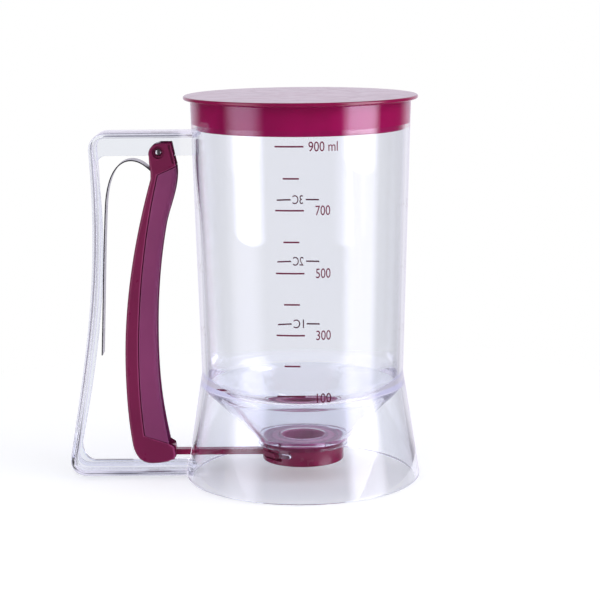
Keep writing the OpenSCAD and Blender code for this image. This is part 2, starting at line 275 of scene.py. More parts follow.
def plate(name, outline, half, radii, steps=5):
    """An outline in the XZ plane, made 2 * half thick about Y = 0, with its edges rounded.

    radii holds one edge radius for all points, or one for each. A pair rounds the edge further
    across the face than down its side.
    """
    if not isinstance(radii, list):
        radii = [radii] * len(outline)
    radii = [r if isinstance(r, tuple) else (r, r) for r in radii]
    turned = anticlockwise(outline)
    if turned is not outline:
        radii = radii[::-1]
    shape = bmesh.new()
    rings = []
    levels = [(-1, k) for k in range(steps, -1, -1)] + [(1, k) for k in range(steps + 1)]
    away = outward(turned)
    for side, k in levels:
        a = math.pi / 2 * k / steps
        ring = []
        for p, out, (across, down) in zip(turned, away, radii):
            q = p - out * across * (1 - math.cos(a))
            ring.append(shape.verts.new((q.x, side * (half - down + down * math.sin(a)), q.y)))
        rings.append(ring)
    bridge(shape, rings, False)
    shape.faces.new(rings[0])
    shape.faces.new(rings[-1])
    return new_mesh(name, shape)


def rod(centre, radius, half, segments=64):
    """A plain cutter or filler cylinder along Y about a place in the XZ plane."""
    return plate("rod", arc(centre, radius, 0, 360 - 360 / segments, segments - 1), half, SHARP, 1)


def turned_on_y(name, outline, centre, segments=96):
    """A lathe shape, with its (r, z) outline's z laid along Y, about a place in the XZ plane."""
    mesh = lathe(name, outline, segments)
    place = Matrix.Translation((centre.x * MM, 0, centre.y * MM))
    mesh.transform(place @ Matrix.Rotation(math.pi / 2, 4, "X"))
    return mesh


def block(low, high):
    """A box between two corners."""
    shape = bmesh.new()
    bmesh.ops.create_cube(shape, size=1)
    for v in shape.verts:
        v.co = Vector(low[i] + (v.co[i] + 0.5) * (high[i] - low[i]) for i in range(3))
    return new_mesh("block", shape)


def through(mesh, *modifiers):
    """The mesh after these modifiers; each is a type with the values to set on it."""
    holder = bpy.data.objects.new("holder", mesh)
    bpy.context.scene.collection.objects.link(holder)
    for kind, values in modifiers:
        added = holder.modifiers.new(kind, kind)
        for key, value in values.items():
            setattr(added, key, value)
    depsgraph = bpy.context.evaluated_depsgraph_get()
    made = bpy.data.meshes.new_from_object(holder.evaluated_get(depsgraph), depsgraph=depsgraph)
    made.name = mesh.name
    bpy.data.objects.remove(holder)
    return made


def combine(mesh, other, operation):
    """The exact boolean of two closed meshes, as a new mesh."""
    tool = bpy.data.objects.new("tool", other)
    bpy.context.scene.collection.objects.link(tool)
    made = through(mesh, ("BOOLEAN", {"operation": operation, "solver": "EXACT", "object": tool}))
    bpy.data.objects.remove(tool)
    return made


def joined(mesh, *others):
    for other in others:
        mesh = combine(mesh, other, "UNION")
    return mesh


def cut(mesh, *others):
    for other in others:
        mesh = combine(mesh, other, "DIFFERENCE")
    return mesh


def smooth(mesh, degrees=32):
    """Smooth shading that leaves flat faces flat, with edges sharper than this kept sharp."""
    for face in mesh.polygons:
        face.use_smooth = True
    mesh.set_sharp_from_angle(angle=math.radians(degrees))
    return through(mesh, ("WEIGHTED_NORMAL", {"keep_sharp": True, "weight": 50}))


def split_sides(piece, *materials):
    """Give the faces that point along X a second material, and those between, if any, a third; the calls use
    them for painted shade and a painted highlight.
    """
    for material in materials:
        piece.data.materials.append(material)
    for face in piece.data.polygons:
        if abs(face.normal.y) < 0.25:
            face.material_index = 1
        elif len(materials) > 1 and face.normal.x > 0.12 and abs(face.normal.y) > 0.5:
            face.material_index = 2


def rounded_copy(node, width, segments=3, degrees=30):
    """A copy of a CAD node's mesh with flat faces joined and its edges rounded."""
    mesh = nodes[node].data.copy()
    shape = bmesh.new()
    shape.from_mesh(mesh)
    bmesh.ops.remove_doubles(shape, verts=shape.verts, dist=2e-6)
    bmesh.ops.dissolve_limit(shape, angle_limit=math.radians(0.4), verts=shape.verts, edges=shape.edges)
    shape.to_mesh(mesh)
    shape.free()
    return through(mesh, ("BEVEL", {"width": width * MM, "segments": segments, "limit_method": "ANGLE",
                                    "angle_limit": math.radians(degrees), "miter_outer": "MITER_ARC"}))


def new_piece(name, mesh, body, slot, material, *replaced):
    """An object that rides on a body and stands for CAD nodes; its slot argument is not used."""
    mesh.name = name
    piece = bpy.data.objects.new(name, mesh)
    bpy.context.scene.collection.objects.link(piece)
    mesh.materials.clear()
    mesh.materials.append(material)
    if body:
        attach(piece, body)
    if replaced:
        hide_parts(*replaced)
    return piece


# ---------------------------------------------------------------- materials


class Nodes:
    """A node tree with short ways to add and link nodes."""

    def __init__(self, tree):
        self.tree = tree

    def add(self, kind, **values):
        node = self.tree.nodes.new(kind)
        for key, value in values.items():
            setattr(node, key, value)
        return node

    def link(self, source, target):
        self.tree.links.new(source, target)

    def between(self, value, low, high, start=0.3, end=0.7, kind="LINEAR"):
        """The value's stretch from start to end, mapped to low..high."""
        made = self.add("ShaderNodeMapRange", interpolation_type=kind)
        for key, number in (("From Min", start), ("From Max", end), ("To Min", low), ("To Max", high)):
            made.inputs[key].default_value = number
        self.link(value, made.inputs["Value"])
        return made.outputs[0]

    def maths(self, operation, a, b, c=0.5):
        made = self.add("ShaderNodeMath", operation=operation)
        for socket, value in zip(made.inputs, (a, b, c)):
            if isinstance(value, (int, float)):
                socket.default_value = value
            else:
                self.link(value, socket)
        return made.outputs[0]

    def mixed(self, share, first, second):
        made = self.add("ShaderNodeMixShader")
        for socket, value in zip(made.inputs, (share, first, second)):
            self.link(value, socket)
        return made.outputs[0]


class Surface(Nodes):
    """A new material's node tree, with the nodes that materials share."""

    def __init__(self, name):
        self.material = bpy.data.materials.new(name)
        self.material.use_nodes = True
        super().__init__(self.material.node_tree)
        self.shader = self.tree.nodes["Principled BSDF"]
        self.out = self.tree.nodes["Material Output"]
        self.place = self.add("ShaderNodeTexCoord").outputs["Object"]

    def stretched(self, scale):
        """Object coordinates, scaled along each axis."""
        made = self.add("ShaderNodeMapping")
        made.inputs["Scale"].default_value = scale
        self.link(self.place, made.inputs["Vector"])
        return made.outputs[0]

    def noise(self, scale, detail=3, place=None):
        made = self.add("ShaderNodeTexNoise")
        made.inputs["Scale"].default_value = scale
        made.inputs["Detail"].default_value = detail
        self.link(place or self.place, made.inputs["Vector"])
        return made.outputs["Fac"]

    def colours(self, value, first, second):
        made = self.add("ShaderNodeMix", data_type="RGBA")
        self.link(value, made.inputs["Factor"])
        made.inputs["A"].default_value = (*first, 1)
        made.inputs["B"].default_value = (*second, 1)
        return made.outputs["Result"]

    def bump(self, value, strength, distance, normal=None):
        made = self.add("ShaderNodeBump")
        made.inputs["Strength"].default_value = strength
        made.inputs["Distance"].default_value = distance
        self.link(value, made.inputs["Height"])
        if normal:
            self.link(normal, made.inputs["Normal"])
        return made.outputs[0]


def shaded(colour, by):
    """The colour made darker or lighter by a factor."""
    return tuple(c * by for c in colour)


# the stretches of X over which the handle begins and its bars run into the post, in metres
HANDLE_ROOT_X = (-0.0585, -0.0565)
HANDLE_POST_X = (-0.1, -0.09)


def clear_plastic():
    """Glossy clear styrene with a faint lilac tint and a slow waviness from the mould."""
    m = Surface("clear_plastic")
    tint = m.colours(m.between(m.noise(18, 2), 0, 1), (0.93, 0.94, 0.985), (0.94, 0.948, 0.985))
    # the handle's thick plastic is a little deeper in colour than the thin walls
    side = m.add("ShaderNodeSeparateXYZ")
    m.link(m.place, side.inputs[0])
    handle = m.between(side.outputs["X"], 1, 0, *HANDLE_ROOT_X)
    deeper = m.add("ShaderNodeMix", data_type="RGBA")
    m.link(handle, deeper.inputs["Factor"])
    m.link(tint, deeper.inputs["A"])
    deeper.inputs["B"].default_value = (0.885, 0.905, 0.96, 1)
    m.link(deeper.outputs["Result"], m.shader.inputs["Base Color"])
    m.shader.inputs["Transmission Weight"].default_value = 1
    m.shader.inputs["IOR"].default_value = 1.5
    m.link(m.between(side.outputs["X"], 0.03, 0, *HANDLE_ROOT_X), m.shader.inputs["Roughness"])
    m.link(m.bump(m.noise(35, 1), 0.02, 0.0004), m.shader.inputs["Normal"])
    clear = m.add("ShaderNodeBsdfTransparent")
    # shadows are clear, and light caught in the wall gets out after a few turns, as real haze lets it;
    # in the handle's two long bars that caught light is darkened: painted shade, for grey lines along the bars
    path = m.add("ShaderNodeLightPath")
    caught = m.maths("GREATER_THAN", path.outputs["Glossy Depth"], 1.5)
    passed = m.maths("MAXIMUM", path.outputs["Is Shadow Ray"], caught)
    bars = m.maths("MULTIPLY", handle, m.between(side.outputs["X"], 0, 1, *HANDLE_POST_X))
    painted_bar_shade = m.maths("MULTIPLY", caught, bars)
    m.link(m.colours(painted_bar_shade, (0.93, 0.935, 0.97), (0.45, 0.46, 0.51)), clear.inputs["Color"])
    m.link(m.mixed(passed, m.shader.outputs[0], clear.outputs[0]), m.out.inputs["Surface"])
    return m.material


def moulded(name, colour, low, high, grain, peel=0.0, gloss=0.5, sheen=(1, 1, 1)):
    """Coloured moulded plastic: slow colour drift, patchy gloss, and a fine grain in the surface.

    low and high bound the roughness; grain is the strength of the fine texture, peel of the slow one.
    """
    m = Surface(name)
    drift = m.between(m.noise(45, 3), 0, 1)
    m.link(m.colours(drift, shaded(colour, 0.93), shaded(colour, 1.07)), m.shader.inputs["Base Color"])
    m.link(m.between(m.noise(160, 4), low, high), m.shader.inputs["Roughness"])
    m.shader.inputs["IOR"].default_value = 1.5
    m.shader.inputs["Specular IOR Level"].default_value = gloss
    m.shader.inputs["Specular Tint"].default_value = (*sheen, 1)
    slow = m.bump(m.noise(70, 2), peel, 0.0005)
    m.link(m.bump(m.noise(4500, 2), grain, 0.00005, slow), m.shader.inputs["Normal"])
    return m.material


def brushed_steel(name, dark, light):
    """Brushed steel with darker flecks, between these two greys."""
    m = Surface(name)
    lines = m.noise(1, 4, m.stretched((500, 9000, 500)))
    greys = m.colours(m.between(lines, 0, 1), (dark, dark, dark), (light, light, light))
    m.link(greys, m.shader.inputs["Base Color"])
    m.shader.inputs["Metallic"].default_value = 1
    m.link(m.between(m.noise(300, 3), 0.2, 0.34), m.shader.inputs["Roughness"])
    m.link(m.bump(lines, 0.25, 0.00004), m.shader.inputs["Normal"])
    return m.material


# colours are linear; each pair bounds a roughness
MAGENTA_COLOUR = (0.25, 0.006, 0.06)
LEVER_COLOUR = (0.2, 0.014, 0.07)
GRIP_COLOUR = (0.245, 0.036, 0.135)
CLEAR = clear_plastic()
POLISHED, SATIN, MATT = (0.1, 0.16), (0.26, 0.36), (0.5, 0.7)
LID_PLASTIC = moulded("magenta_plastic", MAGENTA_COLOUR, *POLISHED, grain=0.02, peel=0.03)
# painted light: the plug's copy of the lid colour is brighter
PLUG_PAINTED_LIGHT = moulded("plug_painted_light", (0.47, 0.006, 0.12), *POLISHED, grain=0.02, peel=0.03, sheen=(1, 0.5, 1))
LEVER_PLASTIC = moulded("magenta_satin", LEVER_COLOUR, *SATIN, grain=0.12, peel=0.05, gloss=0.3)
# painted shade: the lever's side faces take a darker copy of its colour
LEVER_SIDE_SHADE = moulded("magenta_matt_painted_shade", shaded(LEVER_COLOUR, 0.55), *MATT, grain=0.12, peel=0.05, gloss=0.0)
# painted highlight: the lever's rounded edges turned towards +X take a lighter copy
LEVER_EDGE_HIGHLIGHT = moulded("magenta_edge_painted_highlight", (0.36, 0.05, 0.16), *SATIN, grain=0.12, peel=0.05, gloss=0.3)
# painted shade: the grip's side faces take a darker copy of its colour
GRIP_SIDE_SHADE = moulded("grip_matt_painted_shade", shaded(GRIP_COLOUR, 0.6), *MATT, grain=0.25, peel=0.05, gloss=0.0)
GRIP_PLASTIC = moulded("grip_plastic", GRIP_COLOUR, 0.38, 0.5, grain=0.25, peel=0.05)
VALVE_PLASTIC = moulded("valve_plastic", MAGENTA_COLOUR, 0.2, 0.3, grain=0.06, peel=0.03)
# painted light: the seat's colour is much lighter than the magenta, as little light reaches it under the clear
# floor
SEAT_PAINTED_LIGHT = moulded("seat_painted_light", (0.48, 0.1, 0.26), 0.3, 0.4, grain=0.06)
SILICONE = moulded("silicone", (0.85, 0.3, 0.52), 0.45, 0.6, grain=0.1)
INK = moulded("ink", (0.16, 0.006, 0.045), 0.4, 0.6, grain=0.3)
STEEL = brushed_steel("steel", dark=0.24, light=0.385)
# painted light: the pin's steel is much paler than the spring's, as its gloss shows the dark room
PIN_STEEL_PAINTED_LIGHT = brushed_steel("pin_steel_painted_light", dark=0.75, light=0.95)

# ---------------------------------------------------------------- the clear moulding


def jug_outline():
    """The jug's wall, funnel floor, collar and skirt as one closed (r, z) outline."""
    bowl = (WAIST_R - WALL - BOWL_R, WAIST_Z)
    base = (COLLAR_OUT - 0.4, FLOOR_TOP)
    dx, dz = bowl[0] - base[0], bowl[1] - base[1]
    cone = math.degrees(math.atan2(dz, dx) - math.asin(BOWL_R / math.hypot(dx, dz)))
    c, s = math.cos(math.radians(cone)), math.sin(math.radians(cone))
    under = (base[0] + WALL * s, base[1] - WALL * c)
    collar_top = under[1] + (COLLAR_OUT - under[0]) * s / c
    inside = [(OUTLET_R, FLOOR_TOP), base] + arc(bowl, BOWL_R, cone - 90, 0, 32)
    rim = arc((RIM_R - WALL + 0.45, RIM_Z - 0.45), 0.45, 180, 90, 4)
    rim += arc((RIM_R - 0.62, RIM_Z - 0.6), 0.6, 90, 0, 5)
    # points close to the waist keep the long walls on either side of it true in the shading
    notch = 0.9
    down = (Vector((FOOT_R, EDGE)) - Vector((WAIST_R, WAIST_Z))).normalized()
    waist = [(wall_radius(WAIST_Z + notch), WAIST_Z + notch), (WAIST_R, WAIST_Z),
             Vector((WAIST_R, WAIST_Z)) + notch * down]
    foot = arc((FOOT_R - EDGE, EDGE), EDGE, 0, -90, 6) + [(FOOT_R - 2.2, 0)]
    # the skirt's inner face runs up to the underside of the bowl
    run = Vector((WAIST_R - WALL, WAIST_Z)) - Vector(foot[-1])
    away = Vector(foot[-1]) - Vector(bowl)
    outer = BOWL_R + WALL
    a, b, q = run.dot(run), 2 * away.dot(run), away.dot(away) - outer * outer
    meet = Vector(foot[-1]) + run * ((-b - math.sqrt(b * b - 4 * a * q)) / (2 * a))
    angle = math.degrees(math.atan2(meet.y - bowl[1], meet.x - bowl[0]))
    below = [meet] + arc(bowl, outer, angle, cone - 90, 32)[1:]
    lip = FLOOR_BOTTOM - CONTACT
    collar = [(COLLAR_OUT, collar_top), (COLLAR_OUT, COLLAR_BOTTOM + 0.3), (COLLAR_OUT - 0.3, COLLAR_BOTTOM),
              (COLLAR_IN + 0.2, COLLAR_BOTTOM), (COLLAR_IN, COLLAR_BOTTOM + 0.2), (COLLAR_IN, lip)]
    collar.append((OUTLET_R, lip))
    return inside + rim + waist + foot + below + collar


def lug(side):
    """One bayonet lug: a tongue down from the collar, with its nose under the cup's wall."""
    half = math.degrees(math.asin(LUG_W / 2 / COLLAR_OUT))
    top = COLLAR_BOTTOM + 0.5
    outline = [(LUG_IN, LUG_Z), (COLLAR_OUT - 0.1, LUG_Z), (COLLAR_OUT - 0.1, top), (COLLAR_IN + 0.05, top),
               (COLLAR_IN + 0.05, LUG_Z + LUG_T), (LUG_IN, LUG_Z + LUG_T)]
    return sector(outline, LUG_ANGLE + side - half, LUG_ANGLE + side + half, 10)


def handle_outer():
    """The handle's outer face, from the barrel round the back to the skirt."""
    start = at_back(0, 1) + Vector((0, HANDLE_TOP - PIVOT.y - CORNER))
    post = bez(start, at_back(3.8, 0.62), at_back(-3, 0.36), (HANDLE_BACK - 12.3, HANDLE_Z + 9.7), POST_STEPS)
    heel = bez(post[-1], (HANDLE_BACK - 13.3, HANDLE_Z + 3.9), (HANDLE_BACK - 10, HANDLE_Z),
               (HANDLE_BACK - 4, HANDLE_Z), 24, 1)
    top = arc((HANDLE_BACK + CORNER, HANDLE_TOP - CORNER), CORNER, 90, 170, 24)
    return [Vector((-40, HANDLE_TOP))] + top + post + heel + [Vector((-40, HANDLE_Z))]


def handle_window():
    """The edge of the web round the finger opening."""
    corner = arc((HANDLE_BACK + 7.3, WEB_LOW - 4), 4, 90, 170, 12)
    post = bez((HANDLE_BACK + 3.2, WEB_LOW - 6), at_back(8, 0.68), at_back(3.3, 0.39),
               (HANDLE_BACK - 6.4, BAR_WEB_TOP + 14), POST_STEPS)
    heel = bez((HANDLE_BACK - 7.2, BAR_WEB_TOP + 10), (HANDLE_BACK - 8, BAR_WEB_TOP + 5),
               (HANDLE_BACK - 5.5, BAR_WEB_TOP), (HANDLE_BACK - 0.5, BAR_WEB_TOP), 20)
    return [Vector((-40, WEB_LOW))] + corner + post + heel + [Vector((-40, BAR_WEB_TOP))]


def make_handle():
    """The T-section handle: a broad flange outside, a thin web inside, and the boss of the pivot."""
    outer = handle_outer()
    flange = plate("handle", outer + beside(outer, FLANGE_T)[::-1], FLANGE_W / 2, 0.8, 4)
    web = plate("web", beside(outer, FLANGE_T / 2) + handle_window()[::-1], WEB_T / 2, 0.5)
    boss = rod(PIVOT, BOSS_R, CHEEK_GAP / 2 - 0.25)
    inside = lathe("inside", [(0, -5), (FOOT_R - EDGE, -5), (FOOT_R - EDGE, 0), (WAIST_R - EDGE, WAIST_Z),
                              (RIM_R - EDGE, RIM_Z), (0, RIM_Z)])
    return cut(joined(flange, web, boss), inside, rod(PIVOT, PIN_R + 0.05, 10))


def make_jug():
    mesh = joined(lathe("clear_jug", jug_outline()), lug(0), lug(180), make_handle())
    half = STEM_W / 2 + 1.8
    window = block((-FOOT_R - 5, -half, SLIDE_Z - 1.3), (-WAIST_R + WALL + 4, half, SLIDE_HIGH.z + 0.8))
    mesh = cut(mesh, window)
    new_piece("clear_jug", smooth(mesh), "jug", "clear_plastic", CLEAR,
              "jug_barrel", "funnel_floor", "base_skirt", "handle_frame")


make_jug()

# ---------------------------------------------------------------- lid


def make_lid():
    """A flat plate with a round lip, and a plug that is pressed against the barrel's inner wall."""
    slope = (RIM_R - WAIST_R) / (RIM_Z - WAIST_Z)
    foot_z = LID_LOW.z
    plug_top = RIM_R - WALL + CONTACT
    plug_foot = plug_top - (RIM_Z - foot_z) * slope
    under = RIM_Z + 0.03
    outline = [Vector((0, under))]
    outline += arc((plug_top - PLUG_WALL - LID_ROOT, under - LID_ROOT), LID_ROOT, 90, 0, 6)
    outline += arc((plug_foot - PLUG_WALL + LID_EDGE, foot_z + LID_EDGE), LID_EDGE, 180, 270, 6)
    outline += arc((plug_foot - LID_EDGE, foot_z + LID_EDGE), LID_EDGE, 270, 360, 6)
    outline += [Vector((plug_top - 0.5 * slope, RIM_Z - 0.5)), Vector((plug_top - 0.3, under))]
    outline += arc((LID_LIP - LID_EDGE, under + LID_EDGE), LID_EDGE, 270, 360, 6)
    outline += arc((LID_LIP - LID_EDGE, LID_HIGH.z - LID_EDGE), LID_EDGE, 0, 90, 8)
    outline += [Vector((0, LID_HIGH.z))]
    mesh = smooth(lathe("lid", outline))
    lid = new_piece("lid_moulding", mesh, "lid", "magenta_plastic", LID_PLASTIC, "lid")
    # the plug gets a brighter copy of the lid's colour: painted light, as it sits behind the clear wall
    lid.data.materials.append(PLUG_PAINTED_LIGHT)
    for face in lid.data.polygons:
        face.material_index = int(face.center.z < RIM_Z * MM)


make_lid()

# ---------------------------------------------------------------- trigger

BACK_LINE = [at_pivot(-4.5, -5), at_pivot(-3.95, -9.7)]
BACK_LINE += bez(at_pivot(-4, -12.7), along(-12.7, 0.709), along(-18, 0.505), along(-18, 0.3), 40)
BACK_LINE += bez(along(-18, 0.3), along(-18, 0.21), along(-17.3, 0.11), along(-15.4, 0.035), 16, 1)
FRONT_LINE = bez(at_pivot(8.6, -9.7), along(8.6, 0.873), along(4.3, 0.811), along(2.9, 0.766), 14)
FRONT_LINE += bez(along(2.9, 0.766), along(-0.9, 0.636), along(-2.4, 0.505), along(-2.4, 0.38), 24, 1)
FRONT_LINE += bez(along(-2.4, 0.38), along(-2.5, 0.25), along(-0.9, 0.145), at_link(2.7, 3.3), 24, 1)
FOOT_LINE = [at_link(4.9, 3.5), at_link(5.6, -0.6), at_link(4.8, -2.5)]
FOOT_LINE += bez(at_link(1.6, -3.8), at_link(-1, -4.4), at_link(-3.5, -4.6), at_link(-6.3, -4.6), 8)
FOOT_LINE += bez(at_link(-6.3, -4.6), at_link(-12, -4.5), at_link(-14.5, 0), along(-15.4, 0.035), 14, 1)
PARTING_LINE = bez(at_pivot(-0.3, -10.6), along(-9.8, 0.669), along(-14.1, 0.335), at_link(-9.2, 9.2), 40)
PARTING_TOP = at_pivot(8.3, -6.9)
PARTING_FOOT = at_link(2.3, 5.5)


def head_line():
    """From the front corner of the lever's head over its top and round the pivot to its back."""
    round_part = arc(at_pivot(-0.1, -0.7), HEAD_R, 100, 196, 16)
    return [at_pivot(5.95, 4.25), at_pivot(5.7, 4.3), at_pivot(0.6, 4.3)] + round_part


def grip_outline():
    """The finger grip seen from the side, its front edge first, and how many of its points are that edge."""
    front = [p for p in FRONT_LINE if p.y > PARTING_FOOT.y]
    return [PARTING_TOP] + front + [PARTING_FOOT] + PARTING_LINE[::-1], len(front) + 1


def lever_cutters():
    """The channel between the cheeks, the pin's hole with its recesses, and the grooves in the head."""
    inner = [p + Vector((BACK_T, 0)) for p in BACK_LINE]
    channel = [at_pivot(20, 20), at_pivot(-20, 20), at_pivot(-20, -BOSS_R - 0.2),
               at_pivot(-4.7 + BACK_T, -BOSS_R - 0.2)] + inner
    low = BAR_WEB_TOP + 0.6
    channel += [at_link(-12.4, 1.5), at_link(-10.5, -1.4), Vector((PIVOT.x - 6, low))]
    channel += [Vector((PIVOT.x - 20, low)), Vector((PIVOT.x - 20, 0)), Vector((PIVOT.x + 20, 0))]
    made = [plate("channel", channel, CHEEK_GAP / 2, SHARP, 1)]
    made.append(rod(PIVOT, PIN_R + 0.02, LEVER_W))
    for side in (-1, 1):
        recess = rod(PIVOT, PIN_R + 1.2, 3)
        recess.transform(Matrix.Translation((0, side * (LEVER_W / 2 + 3 - RECESS_DEPTH) * MM, 0)))
        made.append(recess)
        # the groove beside the head's front edge
        line = [at_pivot(4.6, 3.4), at_pivot(5.5, 3.4), at_pivot(7.4, -5.5), at_pivot(6.5, -5.2)]
        groove = plate("groove", line, 2, SHARP, 1)
        groove.transform(Matrix.Translation((0, side * (LEVER_W / 2 + 2 - GROOVE_DEPTH) * MM, 0)))
        made.append(groove)
    return made


def make_lever():
    """The magenta lever: round-backed body, head about the pivot, foot, and a core inside the grip."""
    groove = 0.4
    edge = [PARTING_TOP + Vector((0, groove))] + [p + Vector((-groove, 0)) for p in PARTING_LINE]
    edge += [PARTING_FOOT + Vector((0, -groove))]
    outline = head_line() + BACK_LINE[:-1] + FOOT_LINE[::-1] + edge[::-1] + [at_pivot(7.95, -5.4)]
    radii = [0.3] * 3 + [0.7] * (len(head_line()) - 3) + [1.5] * (len(BACK_LINE) - 1) + [1.1] * len(FOOT_LINE)
    radii += [(0.9, 0.4)] * len(edge) + [0.3]
    body = plate("lever", outline, LEVER_W / 2, radii)
    front = [p + Vector((-GRIP_T - 0.4, 0)) for p in FRONT_LINE]
    behind = [p + Vector((-2, 0)) for p in PARTING_LINE]
    core = [at_pivot(4, -5)] + front + [at_link(0, 0), at_link(-11, 6)] + behind[::-1] + [at_pivot(-2, -6)]
    core = plate("core", core, LEVER_W / 2 - GRIP_T, 0.3)
    front_wall = [at_pivot(5.2, -2.7), at_pivot(6.9, -2.7), at_pivot(8.1, -7.1), at_pivot(6.1, -7.6)]
    mesh = cut(joined(body, core), *lever_cutters())
    wall = plate("wall", front_wall, CHEEK_GAP / 2 + 0.6, SHARP, 1)
    mesh = smooth(joined(mesh, rod(LINK, BAR_R, CHEEK_GAP / 2 + 1), wall), 40)
    lever = new_piece("lever_moulding", mesh, "trigger", "magenta_plastic", LEVER_PLASTIC, "trigger_lever")
    # painted shade on the side faces, and a painted highlight on the rounded edges turned towards +X
    split_sides(lever, LEVER_SIDE_SHADE, LEVER_EDGE_HIGHLIGHT)


def make_grip():
    """The finger grip: a shell round the lever's front with a full, soft nose."""
    outline, nose = grip_outline()
    radii = [2.6] * nose + [0.45] * (len(outline) - nose)
    radii[0] = 0.8
    for i in range(10):
        radii[nose - 1 - i] = 0.5 + 0.21 * i
    half = GRIP_HIGH.y
    shell = plate("grip", outline, half, radii, 7)
    inner = [p + Vector((-GRIP_T, 0)) for p in FRONT_LINE]
    hollow = [at_pivot(8.6 - GRIP_T, 3)] + inner + [at_link(0, -5), at_link(-40, 0), at_pivot(-30, 3)]
    mesh = smooth(cut(shell, plate("hollow", hollow, LEVER_W / 2 - GRIP_T + 0.1, SHARP, 1)), 40)
    grip = new_piece("grip_moulding", mesh, "trigger", "grip_plastic", GRIP_PLASTIC, "trigger_grip")
    # painted shade: the grip's side faces take a darker copy
    split_sides(grip, GRIP_SIDE_SHADE)


def make_pin():
    """The steel pin with its two domed heads."""
    half = PIN_HIGH.y
    dome = arc((0, half - 1.1), 1.1, 90, 0, 6)
    head = [Vector((p.x * (PIN_R / 1.1), p.y)) for p in dome]
    outline = head + [Vector((p.x, -p.y)) for p in head[::-1]]
    mesh = smooth(turned_on_y("pin", outline, PIVOT), 50)
    new_piece("pin_turned", mesh, "trigger", "steel", PIN_STEEL_PAINTED_LIGHT, "pivot_pin")


make_lever()
make_grip()
make_pin()

# ---------------------------------------------------------------- spring


def spring_line():
    """The middle of the spring strip, from the slot in the lever over the arch and down the post."""
    entry = at_pivot(-4.8, -7.9)
    tail = Vector((0.75, -0.66))
    shoulder = Vector((HANDLE_BACK + 7.1, PIVOT.y - 25.3))
    top = Vector(((entry.x + shoulder.x) / 2 + 2, PIVOT.y - 3.9))
    line = [entry + 6 * tail, entry + 3 * tail]
    line += bez(entry, entry - 3.2 * tail, top + Vector((3.4, 0)), top, 20)
    line += bez(top, top - Vector((6, 0)), shoulder + Vector((1.2, 15.1)), shoulder, 30, 1)
    line += bez(shoulder, shoulder + Vector((-1.3, -18.4)), at_back(4.8, 0.5), at_back(3.6, 0.333), 30, 1)
    return line


def make_spring():
    line = spring_line()
    outline = beside(line, SPRING_T / 2) + beside(line, -SPRING_T / 2)[::-1]
    mesh = smooth(plate("spring", outline, SPRING_W / 2, 0.12, 2), 50)
    piece = new_piece("spring_strip", mesh, None, "steel", STEEL, "return_spring")
    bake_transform(piece)


make_spring()

# ---------------------------------------------------------------- valve


def make_cup():
    """The valve cup, with its slot for the slide and the two bayonet grooves."""
    e = 0.4
    top = FLOOR_BOTTOM
    low = CUP_LOW.z
    floor = low + CUP_FLOOR
    outline = [(NOZZLE_R, low + e), (NOZZLE_R + e, low)] + arc((CUP_R - 0.7, low + 0.7), 0.7, 270, 360, 5)
    outline += arc((CUP_R - e, top - e), e, 0, 90, 4) + [(CUP_IN, top), (CUP_IN, floor), (NOZZLE_R, floor)]
    rear = 180 - math.degrees(math.asin((SLIDE_HALF + 0.5) / CUP_IN)) - CUP_TURN
    half = math.degrees(math.asin(LUG_W / 2 / COLLAR_OUT)) + 1.5
    cutters = [sector(oblong(CUP_IN - 1, CUP_R + 1, floor, SLIDE_TOP + 0.6), rear, 238, 48)]
    for side in (0, 180):
        a = LUG_ANGLE + side
        low_run = oblong(LUG_IN - 0.25, CUP_R + 1, LUG_Z - 0.3, LUG_Z + LUG_T + 0.3)
        way_in = oblong(LUG_IN - 0.25, CUP_R + 1, LUG_Z - 0.3, top + 1)
        cutters.append(sector(low_run, a - CUP_TURN - half, a + half))
        cutters.append(sector(way_in, a - CUP_TURN - half, a - CUP_TURN + half))
    mesh = cut(lathe("cup", outline), *cutters)
    cup = new_piece("cup_moulding", smooth(mesh), "cup", "magenta_plastic", VALVE_PLASTIC, "valve_cup")
    # its upper edge takes the seat's brighter colour too: painted light where it lies against the clear floor
    cup.data.materials.append(SEAT_PAINTED_LIGHT)
    for face in cup.data.polygons:
        face.material_index = int(face.normal.z > 0.5 and face.center.z > (top - e) * MM)


make_cup()
new_piece("slide_moulding", smooth(rounded_copy("valve_slide", 0.25), 40), "slide", "magenta_plastic",
          VALVE_PLASTIC, "valve_slide")
# the seat takes the brighter colour: painted light
nodes["valve_seat"].data.materials[0] = SEAT_PAINTED_LIGHT
nodes["outlet_seal"].data.materials[0] = SILICONE

# ---------------------------------------------------------------- printed scale

INK_FOOT = 0.01
INK_T = 0.05
FRONT, BACK = 1, -1
LINE_H = 0.75
TEXT_H = 4.5


def on_wall(x, z, proud, side):
    """A place on the barrel: x along its girth to the reader's right, from the front or the back."""
    r = wall_radius(z) + proud
    a = x / wall_radius(z)
    return Vector((side * r * math.sin(a), -side * r * math.cos(a), z))


def printed_line(shape, x0, x1, z, side):
    """A printed bar, bent round the wall."""
    steps = 16
    rings = []
    for i in range(steps + 1):
        x = x0 + (x1 - x0) * i / steps
        low, high = z - LINE_H / 2, z + LINE_H / 2
        corners = ((low, INK_FOOT), (high, INK_FOOT), (high, INK_T), (low, INK_T))
        rings.append([shape.verts.new(on_wall(x, height, proud, side)) for height, proud in corners])
    bridge(shape, rings, False)
    shape.faces.new(rings[0])
    shape.faces.new(rings[-1])


